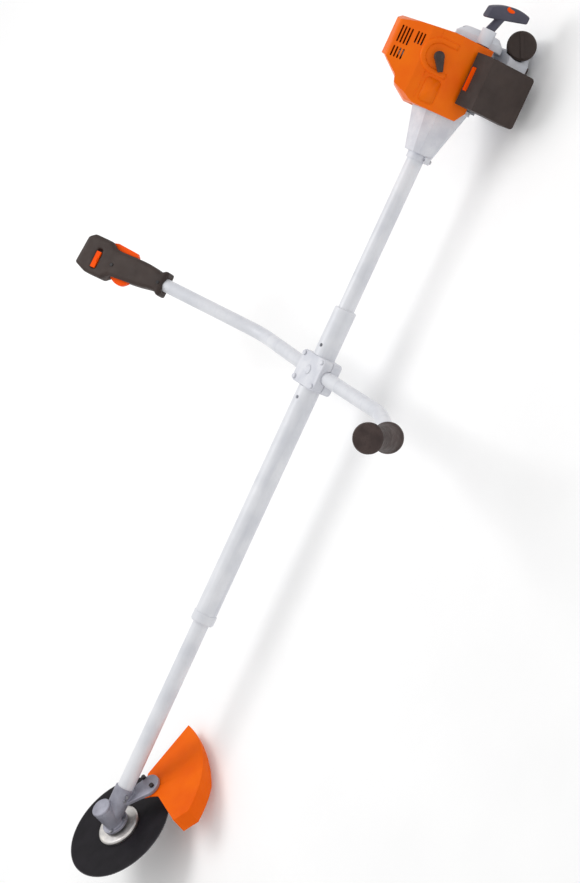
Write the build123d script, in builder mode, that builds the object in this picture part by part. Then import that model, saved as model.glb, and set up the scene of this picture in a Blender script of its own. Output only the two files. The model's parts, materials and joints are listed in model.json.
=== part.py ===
"""Hand-held brush mower: engine, drive tube, handlebar, angle gearbox, blade and guard."""
from build123d import *
import os
from math import cos, radians, sin

# Driving dimensions, millimetres. X runs along the drive tube towards the engine, Z is up and the
# design origin is the centre of the handlebar clamp on the tube axis.
TUBE_R = 17.5
TUBE_BORE_R = 15.9
TUBE_FRONT, TUBE_REAR = -1000.0, 520.0
SHAFT_R = 4.0
BUSH_X = (-900.0, -500.0, -100.0, 300.0)
BUSH_LENGTH = 30.0
SLEEVE_R = 23.5
CLAMP_X, CLAMP_Y, CLAMP_Z = 34.9, 45.6, 23.0
CLAMP_GAP = 0.5
ARM_R, ARM_WALL = 15.0, 2.0
ARM_ROOT = 20.0
GEAR_ANGLE = 26.49
GEAR_X = -1036.4
BLADE_R, BLADE_THICK = 125.0, 2.0
SPINDLE_R = 6.0
SKIRT_DEPTH = 40.0
PISTON_X = 655.0
BORE_R = 19.0
STROKE = 28.0
CRANK_R = 6.0
RUNNING_FIT = 0.05
GROUND = -123.0

pieces = {}


def keep(name, builder):
    """Label a finished piece and list it for export."""
    builder.part.label = name
    pieces[name] = builder.part


def x_plane(x, y=0.0, z=0.0):
    """Plane across the tube axis: sketch X is +Y, sketch Y is +Z, extrusion runs to +X."""
    return Plane(origin=(x, y, z), x_dir=(0, 1, 0), z_dir=(1, 0, 0))


def side_plane(y):
    """Plane seen from the operator's left: sketch X is +X, sketch Y is +Z, extrusion runs to -Y."""
    return Plane(origin=(0, y, 0), x_dir=(1, 0, 0), z_dir=(0, -1, 0))


# Gearbox frame: sketch X points rearward along the blade, +Z points up the output axis.
gear_sin, gear_cos = sin(radians(GEAR_ANGLE)), cos(radians(GEAR_ANGLE))


def gear_plane(height=0.0):
    """Plane square to the output axis, at a height above the point where the two axes meet."""
    origin = (GEAR_X + gear_sin * height, 0, gear_cos * height)
    return Plane(origin=origin, x_dir=(gear_cos, 0, -gear_sin), z_dir=(gear_sin, 0, gear_cos))


# ---------------------------------------------------------------- drive tube and sleeves
# The rear hole goes through sleeve and tube; the front one stops on the tube.
HARNESS_HOLE_R = 4.0
HARNESS_HOLE_X, SECOND_HOLE_X = 57.0, -60.0
HOLE_TILT = 12.4
HOLE_REACH = 30.0


def sleeve_hole_plane(x):
    """Plane on the tube axis looking out through a sleeve's round hole."""
    tilt = radians(HOLE_TILT)
    return Plane(origin=(x, 0, 0), x_dir=(1, 0, 0), z_dir=(0, -sin(tilt), cos(tilt)))


with BuildPart() as drive_tube:
    with BuildSketch(x_plane(TUBE_FRONT)):
        Circle(TUBE_R)
        Circle(TUBE_BORE_R, mode=Mode.SUBTRACT)
    extrude(amount=TUBE_REAR - TUBE_FRONT)
    with BuildSketch(sleeve_hole_plane(HARNESS_HOLE_X)):
        Circle(HARNESS_HOLE_R)
    extrude(amount=HOLE_REACH, mode=Mode.SUBTRACT)
keep("drive_tube", drive_tube)

SHAFT_FRONT, SHAFT_REAR = -1020.0, 574.0
with BuildPart() as drive_shaft:
    with BuildSketch(x_plane(SHAFT_FRONT)):
        Circle(SHAFT_R)
    extrude(amount=SHAFT_REAR - SHAFT_FRONT)
keep("drive_shaft", drive_shaft)

with BuildPart() as shaft_bushes:
    for bush_x in BUSH_X:
        with BuildSketch(x_plane(bush_x)):
            Circle(TUBE_BORE_R)
            Circle(SHAFT_R + RUNNING_FIT, mode=Mode.SUBTRACT)
        extrude(amount=BUSH_LENGTH)
keep("shaft_bushes", shaft_bushes)

UPPER_SLEEVE_LENGTH = 107.0
with BuildPart() as upper_sleeve:
    with BuildSketch(x_plane(CLAMP_X)):
        Circle(SLEEVE_R)
        Circle(TUBE_R, mode=Mode.SUBTRACT)
    extrude(amount=UPPER_SLEEVE_LENGTH)
    end_rings = upper_sleeve.edges().filter_by(GeomType.CIRCLE).group_by(Axis.X)[-1]
    chamfer(end_rings.sort_by(SortBy.RADIUS)[-1], 1.2)
    with BuildSketch(sleeve_hole_plane(HARNESS_HOLE_X)):
        Circle(HARNESS_HOLE_R)
    extrude(amount=HOLE_REACH, mode=Mode.SUBTRACT)
keep("upper_sleeve", upper_sleeve)

LOWER_SLEEVE_END = -574.0
with BuildPart() as lower_sleeve:
    with BuildSketch(x_plane(LOWER_SLEEVE_END)):
        Circle(SLEEVE_R)
        Circle(TUBE_R, mode=Mode.SUBTRACT)
    extrude(amount=-CLAMP_X - LOWER_SLEEVE_END)
    with BuildSketch(sleeve_hole_plane(SECOND_HOLE_X)):
        Circle(HARNESS_HOLE_R)
    extrude(amount=HOLE_REACH, mode=Mode.SUBTRACT)
keep("lower_sleeve", lower_sleeve)

with BuildPart() as sleeve_end_collar:
    with BuildSketch(x_plane(LOWER_SLEEVE_END + 2)):
        Circle(SLEEVE_R + 1.8)
        Circle(SLEEVE_R, mode=Mode.SUBTRACT)
    extrude(amount=20)
    chamfer(sleeve_end_collar.edges().filter_by(GeomType.CIRCLE).group_by(SortBy.RADIUS)[-1], 0.8)
keep("sleeve_end_collar", sleeve_end_collar)

# ---------------------------------------------------------------- handlebar routes
RIGHT_BEND = (8, 258, 0)
RIGHT_FLANGE = Vector(8, 472, 142)
HANDLE_END = Vector(2.5, 654, 263)
handle_axis = (HANDLE_END - RIGHT_FLANGE).normalized()
RIGHT_TUBE_END = RIGHT_FLANGE + handle_axis * 122
RIGHT_SET = RIGHT_FLANGE - handle_axis * 6
LEFT_BENDS = [(-2, -262, 0), (-16, -455, 92)]
LEFT_FLANGE = Vector(-16, -455, 92)
LEFT_END = Vector(-19, -566, 220)
left_axis = (LEFT_END - LEFT_FLANGE).normalized()
LEFT_TUBE_END = LEFT_FLANGE + left_axis * 150

arm_routes = {
    "handle_arm_right": ([(0, ARM_ROOT, 0), RIGHT_BEND, RIGHT_SET, RIGHT_TUBE_END], 110),
    "handle_arm_left": ([(0, -ARM_ROOT, 0), *LEFT_BENDS, LEFT_TUBE_END], 90),
}
# ---------------------------------------------------------------- handlebar clamp
BOLT_X, BOLT_Y = 26.5, 36.5
for side, name in ((1, "clamp_front_half"), (-1, "clamp_back_half")):
    with BuildPart() as clamp_half:
        with BuildSketch(Plane.XY.offset(side * CLAMP_GAP)):
            RectangleRounded(2 * CLAMP_X, 2 * CLAMP_Y, 9)
        extrude(amount=side * (CLAMP_Z - CLAMP_GAP))
        chamfer(clamp_half.faces().sort_by(Axis((0, 0, 0), (0, 0, side)))[-1].edges(), 1.5)
        with BuildSketch(x_plane(-CLAMP_X)):
            Circle(TUBE_R)
        extrude(amount=2 * CLAMP_X, mode=Mode.SUBTRACT)
        for route, bend_radius in arm_routes.values():
            first_leg = Vector(route[1]) - Vector(route[0])
            with BuildSketch(Plane(origin=route[0], x_dir=(0, 0, 1), z_dir=first_leg)):
                Circle(ARM_R)
            extrude(amount=CLAMP_Y, mode=Mode.SUBTRACT)
        with BuildSketch(Plane.XY.offset(-15)):
            with GridLocations(2 * BOLT_X, 2 * BOLT_Y, 2, 2):
                Circle(3)
        extrude(amount=60, mode=Mode.SUBTRACT)
        if side == 1:
            with BuildSketch(Plane.XY.offset(CLAMP_Z)):
                Circle(10)
            extrude(amount=2.6)
            with BuildSketch(Plane.XY.offset(CLAMP_Z + 1.6)):
                Circle(7.5)
            extrude(amount=1, mode=Mode.SUBTRACT)
    keep(name, clamp_half)

with BuildPart() as clamp_bolts:
    with BuildSketch(Plane.XY.offset(-15)):
        with GridLocations(2 * BOLT_X, 2 * BOLT_Y, 2, 2):
            Circle(3)
    extrude(amount=15 + CLAMP_Z)
    with BuildSketch(Plane.XY.offset(CLAMP_Z)):
        with GridLocations(2 * BOLT_X, 2 * BOLT_Y, 2, 2):
            Circle(5.5)
    extrude(amount=4)
    fillet(clamp_bolts.edges().group_by(Axis.Z)[-1], 1.8)
keep("clamp_bolts", clamp_bolts)

# ---------------------------------------------------------------- handlebar arms
for name, (route, bend_radius) in arm_routes.items():
    with BuildPart() as handle_arm:
        with BuildLine():
            arm_line = FilletPolyline(*route, radius=bend_radius)
        with BuildSketch(Plane(origin=arm_line @ 0, z_dir=arm_line % 0)):
            Circle(ARM_R)
            Circle(ARM_R - ARM_WALL, mode=Mode.SUBTRACT)
        sweep(path=arm_line)
    keep(name, handle_arm)

# Left grip: a rubber sleeve with a flange at its root and a broad knob at its end.
GRIP_LENGTH = 152
left_grip_plane = Plane(origin=LEFT_FLANGE + left_axis * 10, x_dir=(1, 0, 0), z_dir=left_axis)
with BuildPart() as left_grip:
    with BuildSketch(Plane(origin=left_grip_plane.origin, x_dir=left_grip_plane.x_dir,
                           z_dir=-left_grip_plane.y_dir)):
        with BuildLine():
            Polyline((ARM_R, 0), (25, 0), (30, 3), (30, 10), (27.5, 16))
            Spline((27.5, 16), (24.5, 50), (22.5, 95), (22, 126))
            Polyline((22, 126), (27.5, 136), (29, 141), (29, GRIP_LENGTH - 4), (26, GRIP_LENGTH),
                     (0, GRIP_LENGTH), (0, 140), (ARM_R, 140), (ARM_R, 0))
        make_face()
    revolve(axis=Axis(left_grip_plane.origin, left_axis))
keep("left_grip", left_grip)

# ---------------------------------------------------------------- control handle
# Local frame: X out along the handle, Y towards the fingers, Z out of the face with the switch.
FACE_SIDE = Vector(0.118, -0.827, 0.549)
handle_face = (FACE_SIDE - handle_axis * FACE_SIDE.dot(handle_axis)).normalized()


def handle_plane(height=0.0):
    """Plane through the handle, parallel to its split line."""
    return Plane(origin=RIGHT_FLANGE + handle_face * height, x_dir=handle_axis, z_dir=handle_face)


def handle_outline():
    """Outline of the control handle: flange, swelling grip and wide head."""
    with BuildLine() as outline:
        palm = Spline((18, -22), (40, -26), (70, -28), (100, -27), (142, -27))
        Line((142, -27), (160, -38))
        Line((160, -38), (208, -38))
        Line((208, -38), (222, -27))
        Line((222, -27), (226, 38))
        Line((226, 38), (196, 49))
        Line((196, 49), (150, 49))
        Line((150, 49), (134, 35))
        Spline((134, 35), (100, 32), (60, 28), (30, 23), (18, 22))
        Line((18, 22), (9, 29))
        Line((9, 29), (0, 28))
        Line((0, 28), (0, -28))
        Line((0, -28), (9, -29))
        Line((9, -29), palm @ 0)
    make_face(outline.edges())


HANDLE_HALF_THICK = 21.0
TRIGGER_PIVOT = (95, 26)
LOCK_PIVOT = (156, -25)
SWITCH_AT = (177, 11)
for side, name in ((1, "control_handle_front"), (-1, "control_handle_back")):
    with BuildPart() as handle_shell:
        with BuildSketch(handle_plane()):
            handle_outline()
        extrude(amount=side * HANDLE_HALF_THICK)
        outer_face = handle_shell.faces().sort_by(Axis((0, 0, 0), handle_face * side))[-1]
        chamfer(outer_face.edges(), 6)
        with BuildSketch(Plane(origin=RIGHT_FLANGE - handle_axis * 5, z_dir=handle_axis)):
            Circle(ARM_R)
        extrude(amount=127, mode=Mode.SUBTRACT)
        with BuildSketch(handle_plane(-6.6)):
            with Locations((111, 38)):
                Rectangle(56, 45)
            with Locations((128, -33)):
                Rectangle(82, 35)
        extrude(amount=13.2, mode=Mode.SUBTRACT)
        with BuildSketch(handle_plane(-14)):
            with Locations(TRIGGER_PIVOT, LOCK_PIVOT):
                Circle(2)
        extrude(amount=28, mode=Mode.SUBTRACT)
        with BuildSketch(handle_plane(12)):
            with Locations(SWITCH_AT):
                Rectangle(13, 46)
        extrude(amount=20, mode=Mode.SUBTRACT)
        with BuildSketch(handle_plane(-12)):
            with Locations((136, 10)):
                Circle(2)
        extrude(amount=40, mode=Mode.SUBTRACT)
        with BuildSketch(handle_plane(ARM_R)):
            with Locations((14, 2)):
                Circle(2)
        extrude(amount=20, mode=Mode.SUBTRACT)
    keep(name, handle_shell)

with BuildPart() as handle_screws:
    for (screw_x, screw_y), bottom in (((136, 10), -12), ((14, 2), ARM_R)):
        with BuildSketch(handle_plane(bottom)):
            with Locations((screw_x, screw_y)):
                Circle(2)
        extrude(amount=HANDLE_HALF_THICK - bottom)
        with BuildSketch(handle_plane(HANDLE_HALF_THICK)):
            with Locations((screw_x, screw_y)):
                Circle(3.6)
        extrude(amount=1.6)
keep("handle_screws", handle_screws)

with BuildPart() as lever_pins:
    with BuildSketch(handle_plane(-14)):
        with Locations(TRIGGER_PIVOT, LOCK_PIVOT):
            Circle(2)
    extrude(amount=28)
keep("lever_pins", lever_pins)

with BuildPart() as throttle_trigger:
    with BuildSketch(handle_plane(-6)):
        with BuildLine():
            Polyline((88, 22), (88, 33), (96, 40))
            Spline((96, 40), (104, 44), (118, 43.5), (133, 36))
            Polyline((133, 36), (133, 28), (100, 22), (88, 22))
        make_face()
        with Locations(TRIGGER_PIVOT):
            Circle(2 + RUNNING_FIT, mode=Mode.SUBTRACT)
    extrude(amount=12)
keep("throttle_trigger", throttle_trigger)

with BuildPart() as throttle_lock:
    with BuildSketch(handle_plane(-6)):
        with BuildLine():
            Polyline((91, -27.5), (92, -31), (98, -37), (150, -40), (163, -36), (163, -21),
                     (148, -21), (130, -26), (91, -27.5))
        make_face()
        with Locations(LOCK_PIVOT):
            Circle(2 + RUNNING_FIT, mode=Mode.SUBTRACT)
    extrude(amount=12)
keep("throttle_lock", throttle_lock)

with BuildPart() as stop_switch:
    with BuildSketch(handle_plane(12.5)):
        with Locations((SWITCH_AT[0], SWITCH_AT[1] + 3)):
            RectangleRounded(11.6, 38, 2)
    extrude(amount=10.5)
    with BuildSketch(handle_plane(23)):
        with Locations((SWITCH_AT[0], SWITCH_AT[1] + 3)):
            RectangleRounded(8, 9, 1.5)
    extrude(amount=1.6)
keep("stop_switch", stop_switch)

# ---------------------------------------------------------------- angle gearbox
HOUSING_R = 22.0
COLLAR_R = 21.0
COLLAR_FRONT, COLLAR_REAR = GEAR_X + 6, -963.0
BRACKET_AT = (103, -25)
BRACKET_R = 26.0
PLATE_TOP = 8.0
GEAR_BOLT_R = 26.5
GUARD_BOLTS = ((107, 1), (108, -38))
with BuildPart() as gear_housing:
    with BuildSketch(gear_plane(-18)):
        Circle(HOUSING_R)
    extrude(amount=52)
    with BuildSketch(gear_plane(-18)):
        Circle(30)
    extrude(amount=6)
    with BuildSketch(x_plane(COLLAR_FRONT)):
        Circle(COLLAR_R)
    extrude(amount=COLLAR_REAR - COLLAR_FRONT)
    with BuildSketch(gear_plane(PLATE_TOP)):
        with BuildLine():
            Polyline((42, -20), (96, -50.2), (103, -51), (103, 1), (96, 0.6), (42, 16), (42, -20))
        make_face()
        with Locations(BRACKET_AT):
            Circle(BRACKET_R)
    extrude(amount=8)
    with BuildSketch(gear_plane(-18)):
        Circle(14)
    extrude(amount=7, mode=Mode.SUBTRACT)
    with BuildSketch(gear_plane(-11)):
        Circle(18)
    extrude(amount=31, mode=Mode.SUBTRACT)
    with BuildSketch(gear_plane(20)):
        Circle(14)
    extrude(amount=7, mode=Mode.SUBTRACT)
    with BuildSketch(gear_plane(27)):
        Circle(18)
    extrude(amount=7, mode=Mode.SUBTRACT)
    with BuildSketch(gear_plane(34)):
        Circle(HOUSING_R + 0.5)
    extrude(amount=20, mode=Mode.SUBTRACT)
    with BuildSketch(x_plane(TUBE_FRONT)):
        Circle(TUBE_R)
    extrude(amount=50, mode=Mode.SUBTRACT)
    with BuildSketch(x_plane(GEAR_X)):
        Circle(11)
    extrude(amount=TUBE_FRONT - GEAR_X, mode=Mode.SUBTRACT)
    with BuildSketch(gear_plane(-18)):
        with PolarLocations(GEAR_BOLT_R, 4, 45):
            Circle(2.5)
    extrude(amount=6, mode=Mode.SUBTRACT)
    with BuildSketch(gear_plane(PLATE_TOP)):
        with Locations(*GUARD_BOLTS):
            Circle(3)
    extrude(amount=8, mode=Mode.SUBTRACT)
keep("gear_housing", gear_housing)

with BuildPart() as gear_cap:
    with BuildSketch(gear_plane(34)):
        Circle(HOUSING_R)
    extrude(amount=6)
    cap_top = gear_cap.faces().sort_by(Axis((0, 0, 0), (gear_sin, 0, gear_cos)))[-1]
    chamfer(cap_top.edges(), 1.5)
keep("gear_cap", gear_cap)

COLLAR_SCREW_Z = 1.0
with BuildPart() as gear_screws:
    with BuildSketch(gear_plane(-18)):
        with PolarLocations(GEAR_BOLT_R, 4, 45):
            Circle(2.5)
    extrude(amount=6)
    with BuildSketch(gear_plane(-12)):
        with PolarLocations(GEAR_BOLT_R, 4, 45):
            RegularPolygon(4.2, 6)
    extrude(amount=3.5)
    for screw_x in (-986, -976):
        with BuildSketch(side_plane(-17)):
            with Locations((screw_x, COLLAR_SCREW_Z)):
                Circle(3.4)
        extrude(amount=7)
    with BuildSketch(x_plane(-1000)):
        Circle(COLLAR_R)
    extrude(amount=50, mode=Mode.SUBTRACT)
keep("gear_screws", gear_screws)

BEVEL_RATIO_TEETH = (12, 17)
with BuildPart() as bevel_pinion:
    with BuildSketch(x_plane(-1022)):
        Circle(5.5)
    with BuildSketch(x_plane(-1010)):
        Circle(8.5)
    loft()
    with BuildSketch(x_plane(-1010)):
        Circle(6)
    extrude(amount=4)
    with BuildSketch(x_plane(-1022)):
        with PolarLocations(8.6, BEVEL_RATIO_TEETH[0]):
            Rectangle(2.4, 1.6)
    extrude(amount=14, mode=Mode.SUBTRACT)
    with BuildSketch(x_plane(SHAFT_FRONT)):
        Circle(SHAFT_R)
    extrude(amount=20, mode=Mode.SUBTRACT)
keep("bevel_pinion", bevel_pinion)

with BuildPart() as crown_gear:
    with BuildSketch(gear_plane(-10.5)):
        Circle(17)
        Circle(SPINDLE_R, mode=Mode.SUBTRACT)
    extrude(amount=8.5)
    with BuildSketch(gear_plane(-4)):
        with PolarLocations(14, BEVEL_RATIO_TEETH[1]):
            Rectangle(7, 2.2)
    extrude(amount=3, mode=Mode.SUBTRACT)
keep("crown_gear", crown_gear)

with BuildPart() as output_spindle:
    with BuildSketch(gear_plane(-50)):
        Circle(SPINDLE_R)
    extrude(amount=79)
keep("output_spindle", output_spindle)

with BuildPart() as spindle_bearings:
    for bearing_height in (-18, 20):
        with BuildSketch(gear_plane(bearing_height)):
            Circle(14)
            Circle(SPINDLE_R + RUNNING_FIT, mode=Mode.SUBTRACT)
        extrude(amount=7)
keep("spindle_bearings", spindle_bearings)

# ---------------------------------------------------------------- blade stack
BLADE_TOP = -31.0
gear_section = Plane(origin=(GEAR_X, 0, 0), x_dir=(gear_cos, 0, -gear_sin), z_dir=(0, -1, 0))
output_axis = Axis((GEAR_X, 0, 0), (gear_sin, 0, gear_cos))


def turned(outline):
    """Revolve a closed outline of (radius, height) points about the output axis."""
    with BuildSketch(gear_section) as section:
        with BuildLine():
            Polyline(*outline, outline[0])
        make_face()
    revolve(section.sketch, axis=output_axis)


with BuildPart() as thrust_plate:
    turned([(SPINDLE_R, BLADE_TOP), (17, BLADE_TOP), (19, -28), (43, -28), (45, BLADE_TOP), (49, BLADE_TOP),
            (49, -26), (46, -23.5), (16, -22), (14, -19), (SPINDLE_R, -19)])
keep("thrust_plate", thrust_plate)

with BuildPart() as blade:
    turned([(SPINDLE_R, BLADE_TOP - BLADE_THICK), (BLADE_R - 6, BLADE_TOP - BLADE_THICK),
            (BLADE_R, BLADE_TOP - 1.2), (BLADE_R, BLADE_TOP - 0.8), (BLADE_R - 6, BLADE_TOP),
            (SPINDLE_R, BLADE_TOP)])
keep("blade", blade)

RIDER_TOP = BLADE_TOP - BLADE_THICK
with BuildPart() as rider_plate:
    turned([(SPINDLE_R, RIDER_TOP), (34, RIDER_TOP), (34, RIDER_TOP - 1.5), (22, RIDER_TOP - 5),
            (SPINDLE_R, RIDER_TOP - 5)])
keep("rider_plate", rider_plate)

with BuildPart() as blade_nut:
    with BuildSketch(gear_plane(RIDER_TOP - 5)):
        Circle(13)
        Circle(SPINDLE_R, mode=Mode.SUBTRACT)
    extrude(amount=-2)
    with BuildSketch(gear_plane(RIDER_TOP - 7)):
        RegularPolygon(10.5, 6)
        Circle(SPINDLE_R, mode=Mode.SUBTRACT)
    extrude(amount=-8)
keep("blade_nut", blade_nut)

# ---------------------------------------------------------------- guard
GUARD_THICK = 3.0
TIP, ARC_MID, CORNER = (251, 38), (217, -92), (128, -172)
INNER_TIP, INNER_EDGE = (93, -161), (103, -66)


def guard_outline():
    """Fan-shaped guard plate: one round outer edge, a short radial edge and a stepped inner edge."""
    with BuildLine() as outline:
        ThreePointArc(TIP, ARC_MID, CORNER)
        Polyline(CORNER, INNER_TIP, INNER_EDGE, (90, -48), (79, -38), (84, -24), (119, 13), TIP)
    make_face(outline.edges())


with BuildPart() as guard:
    with BuildSketch(gear_plane(PLATE_TOP)):
        guard_outline()
    extrude(amount=-SKIRT_DEPTH)
    with BuildSketch(gear_plane(PLATE_TOP - GUARD_THICK)):
        with BuildLine():
            skirt_arc = ThreePointArc((247, 30), (213.6, -89.6), (126, -168.4))
            Polyline(skirt_arc @ 1, (90, -157.5), (60, -140), (60, 60), (200, 60), skirt_arc @ 0)
        make_face()
    extrude(amount=-SKIRT_DEPTH, mode=Mode.SUBTRACT)
    skirt_cut = Plane(origin=gear_plane().origin, x_dir=(0, 1, 0), z_dir=(gear_cos, 0, -gear_sin))
    with BuildSketch(skirt_cut):
        with BuildLine():
            Spline((20, PLATE_TOP - GUARD_THICK), (-35, -6), (-90, -22), (-140, -SKIRT_DEPTH))
            Polyline((-140, -SKIRT_DEPTH), (80, -SKIRT_DEPTH), (80, PLATE_TOP - GUARD_THICK),
                     (20, PLATE_TOP - GUARD_THICK))
        make_face()
    extrude(amount=400, mode=Mode.SUBTRACT)
    with BuildSketch(gear_plane(PLATE_TOP)):
        with Locations(*GUARD_BOLTS):
            Circle(3)
    extrude(amount=-GUARD_THICK, mode=Mode.SUBTRACT)
keep("guard", guard)

with BuildPart() as guard_bolts:
    with BuildSketch(gear_plane(PLATE_TOP - GUARD_THICK)):
        with Locations(*GUARD_BOLTS):
            Circle(3)
    extrude(amount=8 + GUARD_THICK)
    with BuildSketch(gear_plane(PLATE_TOP + 8)):
        with Locations(*GUARD_BOLTS):
            Circle(5)
    extrude(amount=5)
    with BuildSketch(gear_plane(PLATE_TOP - GUARD_THICK)):
        with Locations(*GUARD_BOLTS):
            RegularPolygon(5.5, 6)
    extrude(amount=-4)
keep("guard_bolts", guard_bolts)

# ---------------------------------------------------------------- clutch housing and clutch
CLUTCH_FRONT, CLUTCH_REAR = 490.0, 606.0
CLUTCH_SPLIT_Z = -18.0


def chamfered_square(half, cut):
    """Square section with cut corners."""
    with BuildLine() as outline:
        flat = half - cut
        Polyline((half, -flat), (half, flat), (flat, half), (-flat, half), (-half, flat), (-half, -flat),
                 (-flat, -half), (flat, -half), (half, -flat))
    make_face(outline.edges())


for side, name in ((1, "clutch_housing_upper"), (-1, "clutch_housing_lower")):
    with BuildPart() as clutch_housing:
        with BuildSketch(x_plane(CLUTCH_FRONT)):
            chamfered_square(25, 9)
        with BuildSketch(x_plane(598)):
            chamfered_square(50, 20)
        loft()
        with BuildSketch(x_plane(598)):
            chamfered_square(53, 21)
        extrude(amount=CLUTCH_REAR - 598)
        for start, end, radius in ((490, 520, TUBE_R), (520, 546, 9), (546, 560, 14), (560, 572, 11),
                                   (572, 606, 38.5)):
            with BuildSketch(x_plane(start)):
                Circle(radius)
            extrude(amount=end - start, mode=Mode.SUBTRACT)
        with BuildSketch(Plane.XY.offset(CLUTCH_SPLIT_Z)):
            with Locations((550, 0)):
                Rectangle(200, 200)
        extrude(amount=-side * 100, mode=Mode.SUBTRACT)
    keep(name, clutch_housing)

with BuildPart() as tube_clamp_ring:
    with BuildSketch(x_plane(476)):
        Circle(21)
        with Locations((-21, -10)):
            Rectangle(14, 12)
        Circle(TUBE_R, mode=Mode.SUBTRACT)
    extrude(amount=14)
    with BuildSketch(Plane(origin=(483, -24, -4), x_dir=(1, 0, 0), z_dir=(0, 0, -1))):
        Circle(2.5)
    extrude(amount=12, mode=Mode.SUBTRACT)
keep("tube_clamp_ring", tube_clamp_ring)

with BuildPart() as ring_screw:
    with BuildSketch(Plane(origin=(483, -24, -4), x_dir=(1, 0, 0), z_dir=(0, 0, -1))):
        Circle(2.5)
    extrude(amount=12)
    with BuildSketch(Plane(origin=(483, -24, -16), x_dir=(1, 0, 0), z_dir=(0, 0, -1))):
        Circle(4.2)
    extrude(amount=4)
keep("ring_screw", ring_screw)

with BuildPart() as clutch_drum:
    with BuildSketch(x_plane(544)):
        Circle(8)
    extrude(amount=30)
    with BuildSketch(x_plane(574)):
        Circle(36)
    extrude(amount=22)
    with BuildSketch(x_plane(577)):
        Circle(33)
    extrude(amount=19, mode=Mode.SUBTRACT)
    with BuildSketch(x_plane(544)):
        Circle(SHAFT_R)
    extrude(amount=30, mode=Mode.SUBTRACT)
keep("clutch_drum", clutch_drum)

with BuildPart() as clutch_shoes:
    with BuildSketch(x_plane(580)):
        Circle(31)
        Circle(CRANK_R, mode=Mode.SUBTRACT)
        Rectangle(4, 70, mode=Mode.SUBTRACT)
    extrude(amount=14)
keep("clutch_shoes", clutch_shoes)

# ---------------------------------------------------------------- engine core
CASE_FRONT, CASE_REAR = 606.0, 698.0
CASE_TOP = 44.0
with BuildPart() as crankcase:
    with BuildSketch(x_plane(CASE_FRONT)):
        Circle(46)
        with Locations((0, -53)):
            Rectangle(56, 26)
    extrude(amount=CASE_REAR - CASE_FRONT)
    with BuildSketch(Plane.XY.offset(CASE_TOP)):
        with Locations((PISTON_X, 0)):
            Rectangle(120, 60)
    extrude(amount=6, mode=Mode.SUBTRACT)
    with BuildSketch(Plane.XY.offset(30)):
        with Locations((PISTON_X, 0)):
            Rectangle(64, 60)
    extrude(amount=14)
    for start, end, radius in ((606, 608, 8), (608, 616, 13), (616, 622, 8), (622, 688, 36),
                               (688, 690, 8), (690, 698, 13)):
        with BuildSketch(x_plane(start)):
            Circle(radius)
        extrude(amount=end - start, mode=Mode.SUBTRACT)
    with BuildSketch(Plane.XY.offset(0)):
        with Locations((PISTON_X, 0)):
            Circle(BORE_R)
    extrude(amount=50, mode=Mode.SUBTRACT)
keep("crankcase", crankcase)

with BuildPart() as engine_bearings:
    for bearing_x, outer_r, inner_r, width in ((546, 14, 8, 12), (608, 13, CRANK_R, 8), (690, 13, CRANK_R, 8)):
        with BuildSketch(x_plane(bearing_x)):
            Circle(outer_r)
            Circle(inner_r + RUNNING_FIT, mode=Mode.SUBTRACT)
        extrude(amount=width)
keep("engine_bearings", engine_bearings)

HEAD_TOP = 118.0
with BuildPart() as cylinder:
    with BuildSketch(Plane.XY.offset(CASE_TOP)):
        with Locations((PISTON_X, 0)):
            Circle(24)
    extrude(amount=HEAD_TOP - CASE_TOP)
    for fin in range(8):
        with BuildSketch(Plane.XY.offset(62 + 7.5 * fin)):
            with Locations((PISTON_X, 0)):
                RectangleRounded(66, 64, 12)
        extrude(amount=2.4)
    with BuildSketch(Plane.XY.offset(CASE_TOP)):
        with Locations((PISTON_X, 0)):
            Circle(BORE_R)
    extrude(amount=HEAD_TOP - 4 - CASE_TOP, mode=Mode.SUBTRACT)
    with BuildSketch(Plane.XY.offset(HEAD_TOP - 4)):
        with Locations((PISTON_X, 0)):
            Circle(5)
    extrude(amount=4, mode=Mode.SUBTRACT)
    for hand in (1, -1):
        with BuildSketch(Plane(origin=(PISTON_X, 0, 52), x_dir=(1, 0, 0), z_dir=(0, hand, 0))):
            Circle(5)
        extrude(amount=30, mode=Mode.SUBTRACT)
keep("cylinder", cylinder)

ROD_FOOT = 24.0
PISTON_HEIGHT = 25.0
piston_base = HEAD_TOP - 5 - STROKE - PISTON_HEIGHT
with BuildPart() as piston:
    with BuildSketch(Plane.XY.offset(piston_base)):
        with Locations((PISTON_X, 0)):
            Circle(BORE_R - RUNNING_FIT)
    extrude(amount=PISTON_HEIGHT)
    with BuildSketch(Plane.XY.offset(ROD_FOOT)):
        with Locations((PISTON_X, 0)):
            Rectangle(6, 10)
    extrude(amount=piston_base - ROD_FOOT)
keep("piston", piston)

with BuildPart() as crankshaft:
    with BuildSketch(x_plane(578)):
        Circle(CRANK_R)
    extrude(amount=650 - 578)
    with BuildSketch(x_plane(660)):
        Circle(CRANK_R)
    extrude(amount=733 - 660)
    for web_x in (644, 660):
        with BuildSketch(x_plane(web_x)):
            Circle(21)
        extrude(amount=6)
    with BuildSketch(x_plane(650, 0, -14)):
        Circle(5)
    extrude(amount=10)
keep("crankshaft", crankshaft)

with BuildPart() as flywheel:
    with BuildSketch(x_plane(704)):
        Circle(46)
        Circle(CRANK_R, mode=Mode.SUBTRACT)
    extrude(amount=5)
    with BuildSketch(x_plane(709)):
        with PolarLocations(36, 12):
            Rectangle(18, 2.5)
        Circle(14)
        Circle(CRANK_R, mode=Mode.SUBTRACT)
    extrude(amount=10)
keep("flywheel", flywheel)

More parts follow.
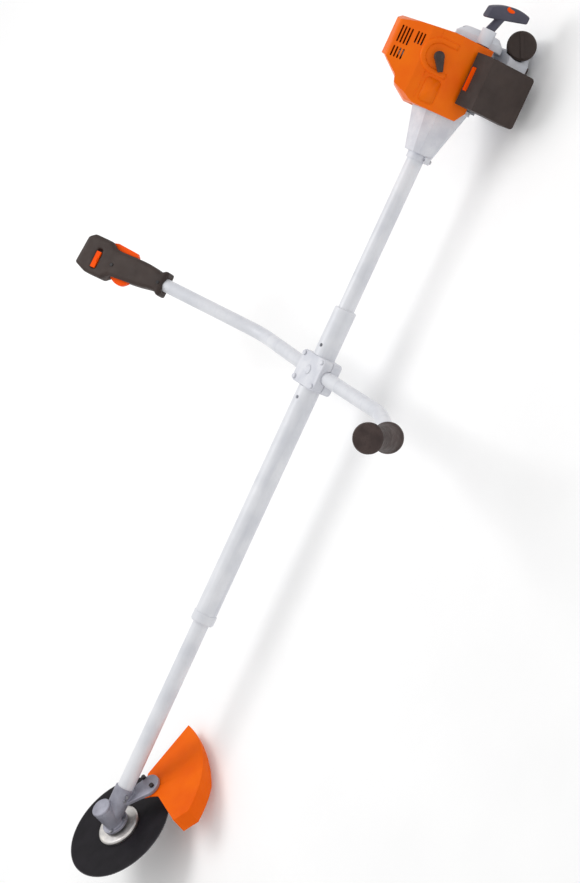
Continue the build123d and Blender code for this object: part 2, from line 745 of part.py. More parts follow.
with BuildPart() as spark_plug:
    with BuildSketch(Plane.XY.offset(HEAD_TOP - 4)):
        with Locations((PISTON_X, 0)):
            Circle(5)
    extrude(amount=4)
    with BuildSketch(Plane.XY.offset(HEAD_TOP)):
        with Locations((PISTON_X, 0)):
            RegularPolygon(9, 6)
    extrude(amount=7)
    with BuildSketch(Plane.XY.offset(HEAD_TOP + 7)):
        with Locations((PISTON_X, 0)):
            Circle(7)
    extrude(amount=17)
keep("spark_plug", spark_plug)

with BuildPart() as muffler:
    with BuildSketch(Plane(origin=(PISTON_X + 5, 48, 56), x_dir=(1, 0, 0), z_dir=(0, 1, 0))):
        RectangleRounded(74, 66, 10)
    extrude(amount=20)
    with BuildSketch(Plane(origin=(PISTON_X, 24, 52), x_dir=(1, 0, 0), z_dir=(0, 1, 0))):
        Circle(7)
    extrude(amount=24)
    with BuildSketch(Plane(origin=(PISTON_X, 0, 0), x_dir=(1, 0, 0), z_dir=(0, 0, 1))):
        Circle(24)
    extrude(amount=100, mode=Mode.SUBTRACT)
keep("muffler", muffler)

CARB_X = 660.0
INLET_Z = 4.0
with BuildPart() as carburettor:
    with BuildSketch(side_plane(-50)):
        with Locations((CARB_X, 27)):
            RectangleRounded(38, 62, 5)
    extrude(amount=15)
    with BuildSketch(Plane(origin=(PISTON_X, -24, 52), x_dir=(1, 0, 0), z_dir=(0, -1, 0))):
        Circle(6)
    extrude(amount=26)
    with BuildSketch(side_plane(-65)):
        with Locations((CARB_X, INLET_Z)):
            Circle(8)
    extrude(amount=15)
    with BuildSketch(Plane(origin=(PISTON_X, 0, 0), x_dir=(1, 0, 0), z_dir=(0, 0, 1))):
        Circle(24)
    extrude(amount=100, mode=Mode.SUBTRACT)
keep("carburettor", carburettor)

# ---------------------------------------------------------------- engine shroud
SHROUD_WALL = 2.5
SHROUD_BOTTOM = -15.0
FACE_LOW, FACE_MID, FACE_TOP = (-70, 60), (-45, 120), (4, 167)


def shroud_section(inset):
    """Cross-section of the shroud, shrunk by the wall for its hollow."""
    with BuildLine() as outline:
        Polyline((-76, SHROUD_BOTTOM), FACE_LOW, FACE_MID, FACE_TOP, (32, 160), (66, 122), (76, 60),
                 (76, SHROUD_BOTTOM), (-76, SHROUD_BOTTOM))
    make_face(outline.edges())
    if inset:
        offset(amount=-inset, mode=Mode.REPLACE)


def shroud_profile(inset):
    """Side view of the shroud: bevelled and notched towards the tube."""
    with BuildLine() as outline:
        Polyline((603, SHROUD_BOTTOM), (576, 4), (574, 101), (596, 140), (611, 146), (627, 170),
                 (712, 170), (725, 138), (733, 80), (733, SHROUD_BOTTOM), (603, SHROUD_BOTTOM))
    make_face(outline.edges())
    if inset:
        offset(amount=-inset, mode=Mode.REPLACE)


def front_bevel(inset):
    """Region above the stepped front edge, swept down and away towards the muffler."""
    with BuildSketch(side_plane(-24)) as region:
        with BuildLine():
            Polyline((520, 96), (574, 101), (596, 140), (611, 146), (627, 170), (640, 190), (640, 260),
                     (520, 260), (520, 96))
        make_face()
        if inset:
            offset(amount=inset)
    return extrude(region.sketch, amount=140, dir=(0, 1, -0.66))


def shroud_body(inset):
    """Solid common to the cross-section along X and the side view across Y."""
    with BuildPart(mode=Mode.PRIVATE) as body:
        with BuildSketch(x_plane(560)):
            shroud_section(inset)
        extrude(amount=190)
        with BuildSketch(side_plane(-90)):
            shroud_profile(inset)
        extrude(amount=-180, mode=Mode.INTERSECT)
        if not inset:
            long_edges = body.edges().filter_by(Axis.X).group_by(Axis.Z)[1:]
            fillet([edge for group in long_edges for edge in group], 8)
    return body.part - front_bevel(inset)


slope = Vector(0, FACE_TOP[0] - FACE_MID[0], FACE_TOP[1] - FACE_MID[1]).normalized()
slope_normal = Vector(0, -slope.Z, slope.Y)
mid_slope = Vector(0, FACE_MID[0] - FACE_LOW[0], FACE_MID[1] - FACE_LOW[1]).normalized()
mid_normal = Vector(0, -mid_slope.Z, mid_slope.Y)
KNOB_X = 677.0
KNOB_AT = Vector(KNOB_X, FACE_LOW[0], FACE_LOW[1]) + mid_slope * 33
SLOT_ROWS = (
    (705, 670, (58, 51, 44, 37)),
    (706, 681, (24, 17, 10)),
    (662, 640, (58, 51, 44, 37)),
)

shroud_outer = shroud_body(0)
shroud_inner = shroud_body(SHROUD_WALL)
with BuildPart() as engine_shroud:
    add(shroud_outer)
    add(shroud_inner, mode=Mode.SUBTRACT)
    with BuildSketch(Plane.XY.offset(SHROUD_BOTTOM - 1)):
        with Locations((660, 0)):
            Rectangle(250, 200)
    extrude(amount=4, mode=Mode.SUBTRACT)
    for rear, front, heights in SLOT_ROWS:
        for height in heights:
            slot_at = Vector((rear + front) / 2, FACE_MID[0], FACE_MID[1]) + slope * height
            with BuildSketch(Plane(origin=slot_at - slope_normal * 8, x_dir=(1, 0, 0), z_dir=slope_normal)):
                SlotOverall(rear - front, 3.6)
            extrude(amount=16, mode=Mode.SUBTRACT)
    with BuildSketch(side_plane(-60)):
        with Locations((CARB_X, INLET_Z)):
            Circle(9)
    extrude(amount=30, mode=Mode.SUBTRACT)
    with BuildSketch(Plane(origin=KNOB_AT - mid_normal * 6, x_dir=(1, 0, 0), z_dir=mid_normal)):
        Circle(4 + RUNNING_FIT)
    extrude(amount=16, mode=Mode.SUBTRACT)
    with BuildSketch(x_plane(560)):
        chamfered_square(54, 21.5)
        with Locations((0, -40)):
            Rectangle(108, 60)
    extrude(amount=47, mode=Mode.SUBTRACT)
    with BuildSketch(x_plane(720)):
        Circle(59)
        with Locations((0, -30)):
            Rectangle(118, 60)
    extrude(amount=20, mode=Mode.SUBTRACT)
    with BuildSketch(x_plane(720, -60, 8)):
        Circle(5)
    extrude(amount=20, mode=Mode.SUBTRACT)
keep("engine_shroud", engine_shroud)

KNOB_R = 10.5
KNOB_LIFT = 4.0
KNOB_TURN = radians(28.7)
knob_x = Vector(1, 0, 0) * cos(KNOB_TURN) + mid_slope * sin(KNOB_TURN)
with BuildPart() as choke_knob:
    with BuildSketch(Plane(origin=KNOB_AT - mid_normal * 5, x_dir=knob_x, z_dir=mid_normal)):
        Circle(4)
    extrude(amount=5 + KNOB_LIFT)
    with BuildSketch(Plane(origin=KNOB_AT + mid_normal * KNOB_LIFT, x_dir=knob_x, z_dir=mid_normal)):
        Circle(KNOB_R)
        with BuildLine():
            Polyline((-4, 9.5), (-31, 5), (-31, -5), (-4, -9.5), (-4, 9.5))
        make_face()
    extrude(amount=10)
    knob_top = choke_knob.faces().sort_by(Axis((0, 0, 0), mid_normal))[-1]
    fillet(knob_top.edges(), 3)
keep("choke_knob", choke_knob)

# ---------------------------------------------------------------- air filter
COVER_FRONT, COVER_REAR = 608.0, 718.0
COVER_Y = (-80.0, -122.0)
COVER_BOTTOM = -100.0
COVER_TOP_IN, COVER_TOP_OUT = 24.0, 9.0
with BuildPart() as filter_base:
    with BuildSketch(side_plane(-76)):
        with Locations(((COVER_FRONT + COVER_REAR) / 2, -38)):
            RectangleRounded(104, 118, 7)
        with Locations((CARB_X, INLET_Z)):
            Circle(8, mode=Mode.SUBTRACT)
    extrude(amount=4)
keep("filter_base", filter_base)


def cover_section(inset):
    """End view of the filter cover with its sloping top."""
    with BuildLine() as outline:
        inner_y = COVER_Y[0] + (0.01 if inset else 0)
        Polyline((inner_y, COVER_BOTTOM + inset), (COVER_Y[1] + inset, COVER_BOTTOM + inset),
                 (COVER_Y[1] + inset, COVER_TOP_OUT - inset), (inner_y, COVER_TOP_IN - inset),
                 (inner_y, COVER_BOTTOM + inset))
    make_face(outline.edges())


LATCH_FRONT, LATCH_REAR = 638.0, 688.0
with BuildPart() as filter_cover:
    with BuildSketch(x_plane(COVER_FRONT)):
        cover_section(0)
    extrude(amount=COVER_REAR - COVER_FRONT)
    fillet(filter_cover.edges().filter_by(Axis.Y), 8)
    fillet(filter_cover.faces().sort_by(Axis.Y)[0].edges(), 2.5)
    with BuildSketch(x_plane(COVER_FRONT + 3)):
        cover_section(3)
    extrude(amount=COVER_REAR - COVER_FRONT - 6, mode=Mode.SUBTRACT)
    with BuildSketch(side_plane(-84)):
        with Locations(((LATCH_FRONT + LATCH_REAR) / 2, 22)):
            Rectangle(LATCH_REAR - LATCH_FRONT + 1, 12)
    extrude(amount=8, mode=Mode.SUBTRACT)
keep("filter_cover", filter_cover)

with BuildPart() as filter_latch:
    with BuildSketch(side_plane(-84.4)):
        with Locations(((LATCH_FRONT + LATCH_REAR) / 2, 21)):
            RectangleRounded(LATCH_REAR - LATCH_FRONT, 8, 2)
    extrude(amount=7.2)
keep("filter_latch", filter_latch)

with BuildPart() as filter_element:
    with BuildSketch(side_plane(COVER_Y[0])):
        with Locations(((COVER_FRONT + COVER_REAR) / 2, -42)):
            RectangleRounded(90, 96, 10)
    extrude(amount=30)
keep("filter_element", filter_element)

# ---------------------------------------------------------------- recoil starter
ROPE_Y, ROPE_Z = -60.0, 8.0
with BuildPart() as starter_housing:
    with BuildSketch(x_plane(CASE_REAR)):
        Circle(55)
        Circle(51, mode=Mode.SUBTRACT)
    extrude(amount=37)
    with BuildSketch(x_plane(CASE_REAR)):
        Circle(55)
        Circle(40, mode=Mode.SUBTRACT)
    extrude(amount=3)
    with BuildSketch(x_plane(735, -8, -14)):
        Circle(51)
    extrude(amount=13)
    with BuildSketch(x_plane(748, -8, -14)):
        Circle(51)
    with BuildSketch(x_plane(762, -8, -14)):
        Circle(38)
    loft()
    with BuildSketch(x_plane(735, ROPE_Y, ROPE_Z)):
        Circle(15)
    extrude(amount=33)
    with BuildSketch(x_plane(735)):
        Circle(28)
    extrude(amount=23, mode=Mode.SUBTRACT)
    with BuildSketch(x_plane(735)):
        Circle(5)
    extrude(amount=24)
    with BuildSketch(x_plane(730, ROPE_Y, ROPE_Z)):
        Circle(3.5)
    extrude(amount=50, mode=Mode.SUBTRACT)
    with BuildSketch(x_plane(697)):
        with Locations((ROPE_Y, ROPE_Z)):
            Circle(3.5)
    extrude(amount=60, mode=Mode.SUBTRACT)
keep("starter_housing", starter_housing)

PULLEY_R = 24.0
with BuildPart() as starter_pulley:
    with BuildSketch(x_plane(738)):
        Circle(PULLEY_R + 2)
    extrude(amount=12)
    with BuildSketch(x_plane(742)):
        Circle(PULLEY_R + 4)
        Circle(PULLEY_R, mode=Mode.SUBTRACT)
    extrude(amount=4, mode=Mode.SUBTRACT)
    with BuildSketch(x_plane(738)):
        Circle(5 + RUNNING_FIT)
    extrude(amount=12, mode=Mode.SUBTRACT)
keep("starter_pulley", starter_pulley)

GRIP_HALF_WIDTH = 11.0
with BuildPart() as starter_grip:
    with BuildSketch(side_plane(ROPE_Y + GRIP_HALF_WIDTH)):
        with BuildLine():
            crown = ThreePointArc((811, 30), (828, -16), (826, -62))
            Line(crown @ 1, (811, -62))
            ThreePointArc((811, -62), (799, -18), (786, 34))
            Line((786, 34), crown @ 0)
        make_face()
    extrude(amount=2 * GRIP_HALF_WIDTH)
    fillet(starter_grip.edges().filter_by(Axis.Y), 4)
    fillet(starter_grip.faces().sort_by(Axis.Y)[0].edges(), 4)
    fillet(starter_grip.faces().sort_by(Axis.Y)[-1].edges(), 4)
    with BuildSketch(x_plane(768.4, ROPE_Y, ROPE_Z)):
        Circle(10)
    with BuildSketch(x_plane(803, ROPE_Y, -6)):
        Circle(9)
    loft()
    with BuildSketch(x_plane(768.4, ROPE_Y, ROPE_Z)):
        Circle(2.2)
    extrude(amount=8, mode=Mode.SUBTRACT)
keep("starter_grip", starter_grip)

with BuildPart() as starter_rope:
    with BuildSketch(x_plane(692, ROPE_Y, ROPE_Z)):
        Circle(2.2)
    extrude(amount=768.4 + 8 - 692)
keep("starter_rope", starter_rope)

# ---------------------------------------------------------------- fuel tank and cap
CAP_AT = Vector(772, -62, -77)
CAP_AXIS = Vector(0.118, -0.827, 0.549).normalized()


def cap_plane(depth):
    """Plane square to the filler, a depth below the top of its cap."""
    return Plane(origin=CAP_AT - CAP_AXIS * depth, x_dir=(1, 0, 0.12), z_dir=CAP_AXIS)


TANK_BOTTOM = GROUND + 5
with BuildPart() as fuel_tank:
    with BuildSketch(Plane.XY.offset(TANK_BOTTOM)):
        with Locations((684, 4)):
            RectangleRounded(140, 124, 18)
    extrude(amount=-66 - TANK_BOTTOM)
    fillet(fuel_tank.edges().group_by(Axis.Z)[0], 6)
    fillet(fuel_tank.edges().group_by(Axis.Z)[-1], 5)
    with BuildSketch(cap_plane(22)):
        Circle(32)
    extrude(amount=60, mode=Mode.SUBTRACT)
    with BuildSketch(cap_plane(58)):
        Circle(27)
    extrude(amount=36)
    with BuildSketch(cap_plane(22)):
        Circle(22)
    extrude(amount=17)
    with BuildSketch(cap_plane(50)):
        Circle(17)
    extrude(amount=60, mode=Mode.SUBTRACT)
    with BuildSketch(Plane.XY.offset(TANK_BOTTOM + 3)):
        with Locations((684, 4)):
            RectangleRounded(134, 118, 15)
    extrude(amount=-66 - TANK_BOTTOM - 6, mode=Mode.SUBTRACT)
keep("fuel_tank", fuel_tank)

with BuildPart() as fuel_cap:
    with BuildSketch(cap_plane(16)):
        Circle(30)
    extrude(amount=14)
    cap_rim = fuel_cap.faces().sort_by(Axis((0, 0, 0), CAP_AXIS))[-1]
    chamfer(cap_rim.edges(), 3)
    with BuildSketch(cap_plane(2)):
        Rectangle(52, 7, rotation=20)
    extrude(amount=2)
    with BuildSketch(cap_plane(16)):
        Circle(22 + RUNNING_FIT)
    extrude(amount=11.4, mode=Mode.SUBTRACT)
keep("fuel_cap", fuel_cap)

with BuildPart() as tank_feet:
    for foot_x in (638, 730):
        with BuildSketch(Plane.XY.offset(GROUND)):
            with Locations((foot_x, 4)):
                RectangleRounded(18, 112, 6)
        extrude(amount=5)
keep("tank_feet", tank_feet)

# ---------------------------------------------------------------- origin and export
boxes = [piece.bounding_box() for piece in pieces.values()]
low = [min(tuple(box.min)[axis] for box in boxes) for axis in range(3)]
high = [max(tuple(box.max)[axis] for box in boxes) for axis in range(3)]
SHIFT = Vector(-(low[0] + high[0]) / 2, -(low[1] + high[1]) / 2, -low[2])
os.makedirs("parts", exist_ok=True)
for name, piece in pieces.items():
    placed = piece.moved(Location(SHIFT))
    placed.label = name
    export_step(placed, f"parts/{name}.step")
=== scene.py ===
"""Looks of the hand-held brush mower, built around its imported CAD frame. Lengths are metres."""
import bmesh
import bpy
import json
import math
from mathutils import Matrix, Vector


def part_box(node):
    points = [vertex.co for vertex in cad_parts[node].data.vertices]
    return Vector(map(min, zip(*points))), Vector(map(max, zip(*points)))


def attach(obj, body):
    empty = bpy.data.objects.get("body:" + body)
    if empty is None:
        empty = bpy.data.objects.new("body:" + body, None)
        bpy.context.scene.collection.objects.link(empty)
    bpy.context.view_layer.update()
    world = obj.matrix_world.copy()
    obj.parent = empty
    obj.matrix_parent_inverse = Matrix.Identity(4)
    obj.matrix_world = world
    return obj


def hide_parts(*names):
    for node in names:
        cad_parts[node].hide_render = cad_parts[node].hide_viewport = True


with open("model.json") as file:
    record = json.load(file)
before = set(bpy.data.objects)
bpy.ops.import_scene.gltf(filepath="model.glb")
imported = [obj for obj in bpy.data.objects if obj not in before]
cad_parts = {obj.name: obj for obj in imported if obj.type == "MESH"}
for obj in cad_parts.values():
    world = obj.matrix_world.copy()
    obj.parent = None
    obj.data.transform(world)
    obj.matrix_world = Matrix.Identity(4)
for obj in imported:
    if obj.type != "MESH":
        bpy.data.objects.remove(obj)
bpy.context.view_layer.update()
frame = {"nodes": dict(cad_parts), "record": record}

MM = 0.001
clamp_low, clamp_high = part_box("clamp_back_half")
CLAMP_DEPTH = 23 * MM
ORIGIN = Vector((
    (clamp_low.x + clamp_high.x) / 2,
    (clamp_low.y + clamp_high.y) / 2,
    clamp_low.z + CLAMP_DEPTH,
))
GEAR_ANGLE = math.radians(26.49)
GEAR_X = -1036.4


def at(x, y, z):
    """Point given in millimetres from the clamp's centre on the tube axis."""
    return ORIGIN + Vector((x, y, z)) * MM


GEAR_CENTRE = at(GEAR_X, 0, 0)


# ---------------------------------------------------------------- materials
def tint(red, green, blue):
    """Linear colour from screen values of 0 to 255."""
    channels = []
    for value in (red, green, blue):
        share = value / 255
        channels.append(share / 12.92 if share <= 0.04045 else ((share + 0.055) / 1.055) ** 2.4)
    return (*channels, 1.0)


class Finish:
    """A principled material whose colour, roughness and relief come from procedural layers."""

    def __init__(self, name, metallic=0.0, coat=0.0, coat_roughness=0.2, sheen=0.0, gloss=0.5):
        self.material = bpy.data.materials.new(name)
        self.material.use_nodes = True
        self.tree = self.material.node_tree
        self.tree.nodes.clear()
        output = self.tree.nodes.new("ShaderNodeOutputMaterial")
        self.shader = self.tree.nodes.new("ShaderNodeBsdfPrincipled")
        self.link(self.shader.outputs["BSDF"], output.inputs["Surface"])
        self.shader.inputs["Metallic"].default_value = metallic
        self.shader.inputs["Specular IOR Level"].default_value = gloss
        self.shader.inputs["Coat Weight"].default_value = coat
        self.shader.inputs["Coat Roughness"].default_value = coat_roughness
        self.shader.inputs["Sheen Weight"].default_value = sheen
        self.coords = self.tree.nodes.new("ShaderNodeTexCoord").outputs["Object"]
        self.colour = None
        self.normal = None

    def link(self, source, target):
        """Join two sockets."""
        self.tree.links.new(source, target)

    def mapped(self, stretch=(1, 1, 1), turn=(0, 0, 0), shift=(0, 0, 0)):
        """Object coordinates, scaled, turned and shifted."""
        mapping = self.tree.nodes.new("ShaderNodeMapping")
        mapping.inputs["Scale"].default_value = stretch
        mapping.inputs["Rotation"].default_value = turn
        mapping.inputs["Location"].default_value = shift
        self.link(self.coords, mapping.inputs["Vector"])
        return mapping.outputs["Vector"]

    def noise(self, scale, detail=4.0, stretch=(1, 1, 1)):
        """Cloudy value from 0 to 1."""
        texture = self.tree.nodes.new("ShaderNodeTexNoise")
        texture.inputs["Scale"].default_value = scale
        texture.inputs["Detail"].default_value = detail
        self.link(self.mapped(stretch), texture.inputs["Vector"])
        return texture.outputs["Fac"]

    def cells(self, scale):
        """Distance to the nearest of many scattered points."""
        texture = self.tree.nodes.new("ShaderNodeTexVoronoi")
        texture.inputs["Scale"].default_value = scale
        self.link(self.mapped(), texture.inputs["Vector"])
        return texture.outputs["Distance"]

    def rings(self, scale, vector, distortion):
        """Concentric waves about the Z axis of the given coordinates."""
        texture = self.tree.nodes.new("ShaderNodeTexWave")
        texture.wave_type = "RINGS"
        texture.rings_direction = "Z"
        texture.inputs["Scale"].default_value = scale
        texture.inputs["Distortion"].default_value = distortion
        texture.inputs["Detail"].default_value = 3.0
        texture.inputs["Detail Scale"].default_value = 4.0
        self.link(vector, texture.inputs["Vector"])
        return texture.outputs["Fac"]

    def remap(self, value, low_in, high_in, low_out, high_out):
        """Stretch one range of a value onto another."""
        node = self.tree.nodes.new("ShaderNodeMapRange")
        node.inputs["From Min"].default_value = low_in
        node.inputs["From Max"].default_value = high_in
        node.inputs["To Min"].default_value = low_out
        node.inputs["To Max"].default_value = high_out
        self.link(value, node.inputs["Value"])
        return node.outputs["Result"]

    def paint(self, value, colours, low=0.35, high=0.65):
        """Lay the first colour coat: a value drives a ramp from the first colour to the last."""
        ramp = self.tree.nodes.new("ShaderNodeValToRGB")
        elements = ramp.color_ramp.elements
        elements[0].position, elements[0].color = low, colours[0]
        elements[-1].position, elements[-1].color = high, colours[-1]
        for index, colour in enumerate(colours[1:-1], start=1):
            middle = elements.new(low + (high - low) * index / (len(colours) - 1))
            middle.color = colour
        self.link(value, ramp.inputs["Fac"])
        self.colour = ramp.outputs["Color"]

    def stain(self, value, colour, low, high, amount):
        """Mix another colour over what is there where a value is high."""
        mix = self.tree.nodes.new("ShaderNodeMix")
        mix.data_type = "RGBA"
        self.link(self.remap(value, low, high, 0.0, amount), mix.inputs["Factor"])
        self.link(self.colour, mix.inputs["A"])
        mix.inputs["B"].default_value = colour
        self.colour = mix.outputs["Result"]

    def relief(self, value, strength, depth):
        """Add a layer of fine bumps over what is there."""
        bump = self.tree.nodes.new("ShaderNodeBump")
        bump.inputs["Strength"].default_value = strength
        bump.inputs["Distance"].default_value = depth
        self.link(value, bump.inputs["Height"])
        if self.normal is not None:
            self.link(self.normal, bump.inputs["Normal"])
        self.normal = bump.outputs["Normal"]

    def done(self, value, smooth, rough):
        """Close the material: a value drives its roughness between two limits."""
        self.link(self.remap(value, 0.3, 0.7, smooth, rough), self.shader.inputs["Roughness"])
        self.link(self.colour, self.shader.inputs["Base Color"])
        if self.normal is not None:
            self.link(self.normal, self.shader.inputs["Normal"])
        return self.material


def painted_tube():
    """Light grey powder coat with a fine orange peel and faint rubbed streaks along the tube."""
    finish = Finish("tube_powder_coat", coat=0.15, coat_roughness=0.3)
    finish.paint(finish.noise(14, 5), [tint(206, 208, 214), tint(222, 223, 227)])
    finish.stain(finish.noise(40, 6, (0.15, 1.5, 1.5)), tint(186, 189, 199), 0.55, 0.8, 0.5)
    finish.relief(finish.noise(900, 2), 0.12, 0.0002)
    return finish.done(finish.noise(60, 4), 0.32, 0.46)


def painted_casting(name, light, dark, metallic, grain):
    """Cast surface: pebbled skin, slightly darker in its pores."""
    finish = Finish(name, metallic=metallic)
    finish.paint(finish.noise(32, 6), [dark, light])
    finish.stain(finish.cells(500), dark, 0.35, 0.9, 0.35)
    finish.relief(finish.noise(grain, 5), 0.35, 0.0004)
    finish.relief(finish.cells(grain * 1.6), 0.12, 0.0002)
    return finish.done(finish.noise(90, 5), 0.42, 0.6)


def steel(name, light, dark, smooth, rough):
    """Zinc-plated or ground steel with short directional scratches."""
    finish = Finish(name, metallic=1.0)
    finish.paint(finish.noise(120, 5), [dark, light])
    finish.relief(finish.noise(400, 6, (1, 6, 6)), 0.15, 0.0001)
    return finish.done(finish.noise(300, 4, (0.4, 2, 2)), smooth, rough)


def turned_plate():
    """Turned steel: concentric tool marks about the output axis."""
    finish = Finish("turned_plate", metallic=0.85)
    vector = axis_coords(finish)
    finish.paint(finish.noise(45, 4), [tint(178, 176, 176), tint(214, 210, 205)])
    finish.relief(finish.rings(420, vector, 0.2), 0.2, 0.0001)
    return finish.done(finish.noise(80, 4), 0.28, 0.42)


def axis_coords(finish):
    """Coordinates turned so that the output axis is Z through zero."""
    turn = Matrix.Rotation(-GEAR_ANGLE, 3, "Y")
    moved = turn @ GEAR_CENTRE
    return finish.mapped(turn=(0, -GEAR_ANGLE, 0), shift=(-moved.x, -moved.y, -moved.z))


RIM_RUB_START = 0.1225
RIM_RUB_END = 0.1252
BLADE_RINGS = 190


def blade_lacquer():
    """Satin black lacquer with faint rings and a rubbed rim."""
    finish = Finish("blade_lacquer", gloss=0.1)
    vector = axis_coords(finish)
    finish.paint(finish.noise(26, 6), [tint(16, 14, 18), tint(26, 23, 28)])
    finish.stain(finish.rings(BLADE_RINGS, vector, 1.2), tint(46, 42, 50), 0.6, 1.0, 0.25)
    length = finish.tree.nodes.new("ShaderNodeVectorMath")
    length.operation = "LENGTH"
    flat = finish.tree.nodes.new("ShaderNodeVectorMath")
    flat.operation = "MULTIPLY"
    flat.inputs[1].default_value = (1, 1, 0)
    finish.link(vector, flat.inputs[0])
    finish.link(flat.outputs["Vector"], length.inputs[0])
    finish.stain(length.outputs["Value"], tint(120, 118, 122), RIM_RUB_START, RIM_RUB_END, 0.6)
    finish.relief(finish.rings(BLADE_RINGS, vector, 1.2), 0.12, 0.00015)
    finish.relief(finish.noise(700, 3), 0.1, 0.0001)
    return finish.done(finish.noise(50, 5), 0.34, 0.52)


def moulded(name, light, dark, smooth, rough, grain=900, gloss=0.3):
    """Moulded plastic: eroded mould grain, slow colour drift and a few fine scuffs."""
    finish = Finish(name, gloss=gloss)
    finish.paint(finish.noise(18, 4), [dark, light], 0.3, 0.7)
    finish.stain(finish.noise(220, 8, (1, 4, 1)), light, 0.62, 0.8, 0.35)
    finish.relief(finish.cells(grain), 0.14, 0.0002)
    finish.relief(finish.noise(grain * 0.4, 4), 0.1, 0.0002)
    return finish.done(finish.noise(70, 5), smooth, rough)


def rubber():
    """Matt rubber with a pebbled skin."""
    finish = Finish("grip_rubber", gloss=0.25)
    finish.paint(finish.noise(40, 5), [tint(58, 47, 45), tint(76, 63, 60)])
    finish.stain(finish.cells(700), tint(44, 37, 35), 0.4, 0.9, 0.4)
    finish.relief(finish.cells(1100), 0.3, 0.0003)
    return finish.done(finish.noise(120, 4), 0.55, 0.75)


def woven(name, light, dark):
    """Coarse felt or braid."""
    finish = Finish(name, sheen=0.3)
    finish.paint(finish.noise(500, 8), [dark, light])
    finish.relief(finish.noise(900, 8), 0.6, 0.0005)
    return finish.done(finish.noise(300, 4), 0.8, 0.95)


finishes = {
    "light_grey_paint": painted_tube(),
    "cast_light_grey": painted_casting(
        "casting_light_grey", tint(218, 219, 224), tint(198, 200, 208),
        0.1, 420),
    "cast_gear_grey": painted_casting(
        "casting_gear_grey", tint(166, 166, 178), tint(138, 138, 150),
        0.35, 520),
    "zinc_steel": steel("zinc_steel", tint(196, 196, 200), tint(150, 150, 156), 0.28, 0.42),
    "black_steel": moulded("black_oxide", tint(48, 46, 48), tint(34, 32, 34), 0.3, 0.45, 600),
    "silver_plate": turned_plate(),
    "bright_steel": steel("ground_steel", tint(190, 191, 194), tint(150, 151, 155), 0.18, 0.34),
    "black_blade": blade_lacquer(),
    "orange_guard": moulded(
        "guard_orange", tint(238, 104, 0), tint(230, 92, 0),
        0.46, 0.6, 800, gloss=0.08),
    "orange_shroud": moulded(
        "shroud_orange", tint(240, 112, 0), tint(234, 98, 0),
        0.34, 0.46, 1100, gloss=0.14),
    "orange_control": moulded(
        "control_orange", tint(250, 88, 0), tint(238, 74, 0),
        0.4, 0.52, 1100, gloss=0.08),
    "dark_housing": moulded(
        "housing_brown_black", tint(66, 55, 51), tint(52, 43, 40),
        0.5, 0.66, 700, gloss=0.25),
    "dark_rubber": rubber(),
    "slate_grip": moulded("grip_slate", tint(82, 80, 94), tint(66, 65, 78), 0.4, 0.55, 900),
    "light_plastic": moulded(
        "housing_light_grey", tint(220, 221, 226), tint(202, 205, 213),
        0.38, 0.52, 800),
    "engine_aluminium": painted_casting(
        "engine_casting", tint(176, 176, 180), tint(140, 140, 146),
        0.7, 480),
    "muffler_steel": steel("muffler_steel", tint(140, 132, 126), tint(96, 88, 82), 0.4, 0.6),
    "plug_ceramic": moulded("plug_white", tint(232, 230, 224), tint(214, 212, 206), 0.2, 0.35, 900),
    "pulley_plastic": moulded("pulley_dark", tint(70, 70, 74), tint(54, 54, 58), 0.45, 0.6),
    "filter_felt": woven("filter_felt", tint(214, 206, 184), tint(184, 174, 150)),
    "rope_white": woven("rope_braid", tint(232, 230, 224), tint(196, 194, 188)),
}
slot_of = {row["node"]: row["material_slot"] for row in frame["record"]["subparts"]}


def dress(piece, slot):
    """Give a piece the finish of a record slot."""
    piece.data.materials.clear()
    piece.data.materials.append(finishes[slot])


# ---------------------------------------------------------------- CAD pieces kept as they are
BEVEL_ANGLE = math.radians(32)
WELD_DISTANCE = 1e-5
FINE_BEVEL = 0.6
WIDE_BEVEL = {"guard": 1.2, "clutch_housing_upper": 2.0, "clutch_housing_lower": 1.2, "gear_cap": 0.8}
NO_BEVEL = {
    "blade", "drive_tube", "upper_sleeve", "lower_sleeve", "sleeve_end_collar", "drive_shaft",
    "handle_arm_left", "handle_arm_right", "starter_rope", "lever_pins", "shaft_bushes",
    "engine_bearings", "spindle_bearings", "piston", "crankshaft", "filter_element",
}


def welded(piece):
    """Join the doubled corners that a CAD mesh has along its edges."""
    weld = piece.modifiers.new("weld", "WELD")
    weld.merge_threshold = WELD_DISTANCE


def soften(piece, width):
    """Round the sharp edges that a moulded or cast piece would not have."""
    welded(piece)
    bevel = piece.modifiers.new("bevel", "BEVEL")
    bevel.width = width
    bevel.segments = 3
    bevel.limit_method = "ANGLE"
    bevel.angle_limit = BEVEL_ANGLE
    bevel.use_clamp_overlap = True
    bevel.harden_normals = True


for name, node in frame["nodes"].items():
    for index in range(len(node.data.materials)):
        node.data.materials[index] = finishes[slot_of[name]]
    if name not in NO_BEVEL:
        soften(node, WIDE_BEVEL.get(name, FINE_BEVEL) * MM)


# ---------------------------------------------------------------- mesh builders
def placed(name, data):
    """Put new object data into the scene under a name."""
    thing = bpy.data.objects.new(name, data)
    bpy.context.scene.collection.objects.link(thing)
    return thing


def body_of(node):
    """Name of the CAD body that a node belongs to."""
    bodies = frame["record"]["behaviour"]["bodies"]
    return next(body for body, nodes in bodies.items() if node in nodes)


def piece_from(name, shape, slot, body):
    """Turn a bmesh into a smooth-shaded piece that rides on a body."""
    bmesh.ops.recalc_face_normals(shape, faces=shape.faces)
    mesh = bpy.data.meshes.new(name)
    shape.to_mesh(mesh)
    shape.free()
    for polygon in mesh.polygons:
        polygon.use_smooth = True
    piece = placed(name, mesh)
    dress(piece, slot)
    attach(piece, body)
    return piece


